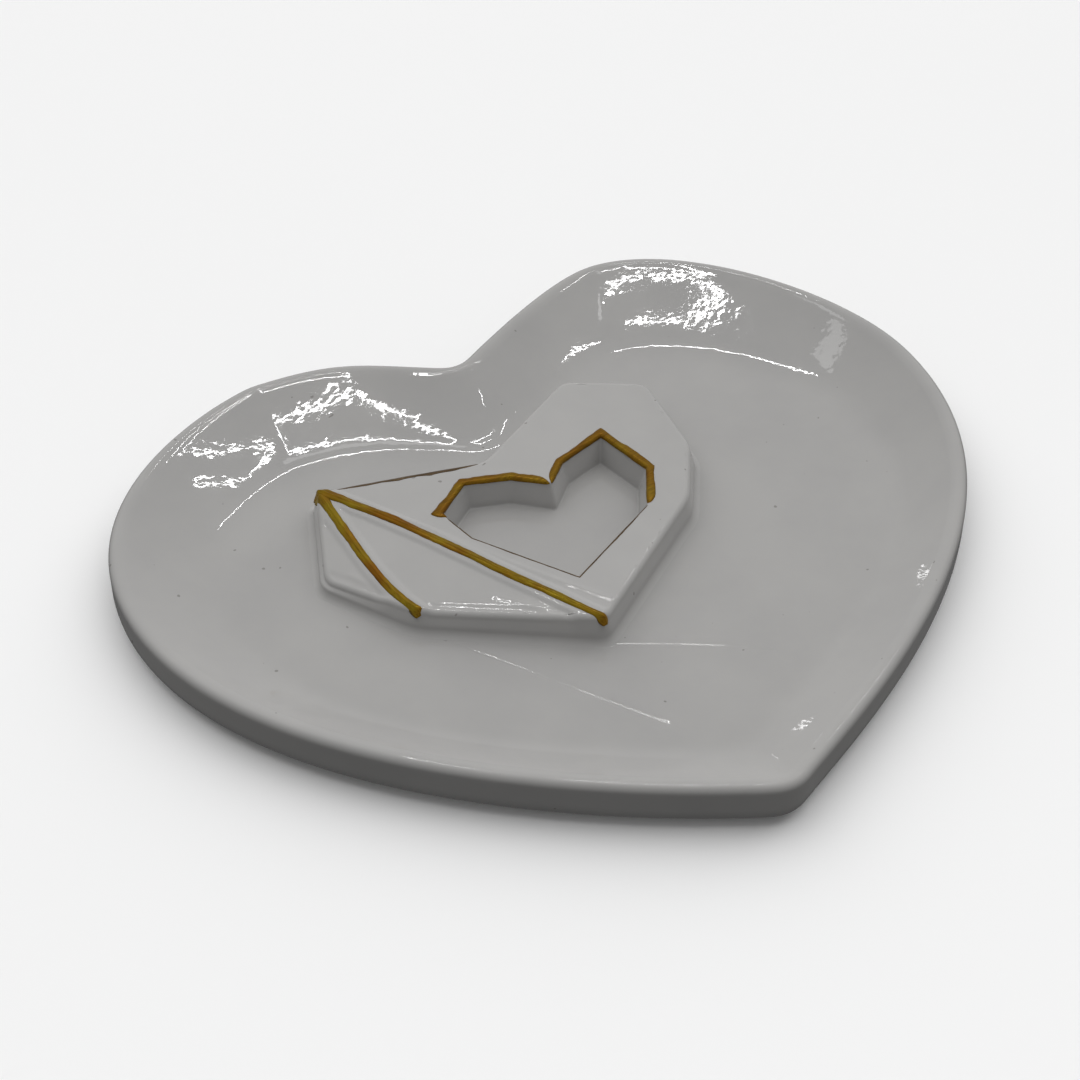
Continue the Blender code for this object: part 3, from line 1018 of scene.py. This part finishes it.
def make_stage():
    """One pale sheet: a floor that is level under the dish."""
    half = STAGE_HALF
    corners = [(-half, -half, 0), (half, -half, 0), (half, half, 0), (-half, half, 0)]
    mesh = bpy.data.meshes.new("studio_floor")
    mesh.from_pydata(corners, [], [(0, 1, 2, 3)])
    mesh.materials.append(floor_material())
    floor = bpy.data.objects.new("studio_floor", mesh)
    floor.location.z = STAGE_HEIGHT
    floor.visible_diffuse = False
    floor.visible_glossy = False
    bpy.context.scene.collection.objects.link(floor)


def towards(azimuth, elevation):
    """Unit vector towards a direction seen from the dish; azimuth turns right from the camera's."""
    turn = radians(VIEW_AZIMUTH + azimuth)
    lift = radians(elevation)
    return Vector((sin(turn) * cos(lift), cos(turn) * cos(lift), sin(lift)))


def soft_sun(name, azimuth, elevation, strength, spread):
    """Broad, even light that shows in no reflection."""
    data = bpy.data.lights.new(name, "SUN")
    data.energy = strength
    data.angle = radians(spread)
    direction = towards(azimuth, elevation)
    light = bpy.data.objects.new(name, data)
    light.location = direction
    light.rotation_euler = direction.to_track_quat("Z", "Y").to_euler()
    light.visible_glossy = False
    bpy.context.scene.collection.objects.link(light)


def glint(name, target, start, end, thickness, radiance, distance):
    """Thin bar of light that shows only in the gloss.

    It runs between two directions (azimuth, elevation), in degrees, as seen from a target on
    the dish in millimetres, and is so many degrees thick.
    """
    centre = Vector(target) * MM
    first = centre + towards(*start) * distance
    last = centre + towards(*end) * distance
    middle = (first + last) / 2
    outwards = (middle - centre).normalized()
    across = (last - first).normalized()
    upwards = outwards.cross(across).normalized()
    across = upwards.cross(outwards)
    width = (last - first).length
    height = radians(thickness) * distance
    data = bpy.data.lights.new(name, "AREA")
    data.shape = "RECTANGLE"
    data.size = width
    data.size_y = height
    data.energy = radiance * pi * width * height
    light = bpy.data.objects.new(name, data)
    light.location = middle
    light.rotation_euler = Matrix((across, upwards, outwards)).transposed().to_euler()
    light.visible_diffuse = False
    light.visible_camera = False
    bpy.context.scene.collection.objects.link(light)


def make_world():
    """Dim, even sky that is darker below the horizon."""
    world = bpy.data.worlds.new("studio")
    world.use_nodes = True
    tree = world.node_tree
    split = tree.nodes.new("ShaderNodeSeparateXYZ")
    tree.links.new(tree.nodes.new("ShaderNodeTexCoord").outputs["Generated"], split.inputs["Vector"])
    grade = tree.nodes.new("ShaderNodeMapRange")
    horizon = (("From Min", -0.05), ("From Max", 0.05), ("To Min", GROUND_GLOW), ("To Max", SKY_GLOW))
    for key, value in horizon:
        grade.inputs[key].default_value = value
    tree.links.new(split.outputs["Z"], grade.inputs["Value"])
    background = tree.nodes["Background"]
    background.inputs["Color"].default_value = (1.0, 1.0, 1.0, 1.0)
    tree.links.new(grade.outputs["Result"], background.inputs["Strength"])
    bpy.context.scene.world = world


def make_lights():
    """One soft light from behind, the light bars and the sky."""
    soft_sun("back_softbox", 0, 50, 2.72, 110)
    for bar in GLINTS:
        glint(*bar)
    make_world()
    bpy.context.scene.view_settings.view_transform = "Standard"


# The pieces

BROWN = (0.23, 0.095, 0.003)
OLIVE = (0.27, 0.185, 0.008)
WINDOW_BROWN = (0.20, 0.085, 0.003)
WINDOW_OLIVE = (0.25, 0.15, 0.006)
# The thin lines' gold is the same paint, darkened and greyed with painted shade, for the lines seen
# edge-on at the tablet's edges.
THIN_SHADED_BROWN = (0.12, 0.080, 0.045)
THIN_SHADED_OLIVE = (0.15, 0.105, 0.06)
GLAZE = glaze_material("clear_glaze", (0.372, 0.366, 0.358), (0.350, 0.345, 0.339))
BISQUE = bisque_material("bare_clay")
TABLET_GLAZE = glaze_material("tablet_glaze", (0.388, 0.382, 0.374), (0.366, 0.361, 0.354))
OUTER_WALL = (TABLET_PLAN, 1, TABLET_DRAFT / WALL_HEIGHT, EDGE_RADIUS)
WINDOW_WALL = (WINDOW_PLAN, -1, WINDOW_DRAFT / WALL_HEIGHT, WINDOW_RADIUS)

make_camera()
make_stage()
make_lights()
make_dish([GLAZE, BISQUE])
make_tablet(TABLET_GLAZE)
LONG_GOLD = gold_material("gold_long", radians(-60), BROWN, OLIVE)
SHORT_GOLD = gold_material("gold_short", radians(-88), BROWN, OLIVE)
WINDOW_GOLD = gold_material("gold_window", radians(10), WINDOW_BROWN, WINDOW_OLIVE)
# Gold of the thin edge-on lines, darkened and greyed with painted shade.
THIN_SHADED_GOLD = gold_material("gold_thin_shaded", radians(-12), THIN_SHADED_BROWN, THIN_SHADED_OLIVE)
brush_stroke("brushed_long_line", LONG_LINE, width=1.5, height=0.30, seed=21, start_blob=0.55,
             end_blob=0.05, node="long_gold_stroke", material=LONG_GOLD)
brush_stroke("brushed_short_line", SHORT_LINE, width=1.40, height=0.26, seed=22, start_blob=0.4,
             end_blob=0.12, node="short_gold_stroke", material=SHORT_GOLD)
edge_band("brushed_edge_line", OUTER_WALL, start=0.08, end=0.98, width_up=0.85, width_down=0.5,
          thick=0.09, seed=23, node="edge_gold_stroke", material=THIN_SHADED_GOLD, taper=9.0)
edge_band("brushed_window_left", WINDOW_WALL, start=9.82, end=12.98, width_up=1.2, width_down=0.4,
          thick=0.2, seed=24, node="window_gold_left", material=WINDOW_GOLD)
edge_band("brushed_window_right", WINDOW_WALL, start=3.02, end=6.97, width_up=1.05, width_down=0.45,
          thick=0.2, seed=25, node="window_gold_right", material=WINDOW_GOLD, taper=2.4)
edge_band("brushed_window_point", WINDOW_WALL, start=7.0, end=9.8, width_up=0.26, width_down=0.5,
          thick=0.05, seed=26, node="window_gold_point", material=THIN_SHADED_GOLD)
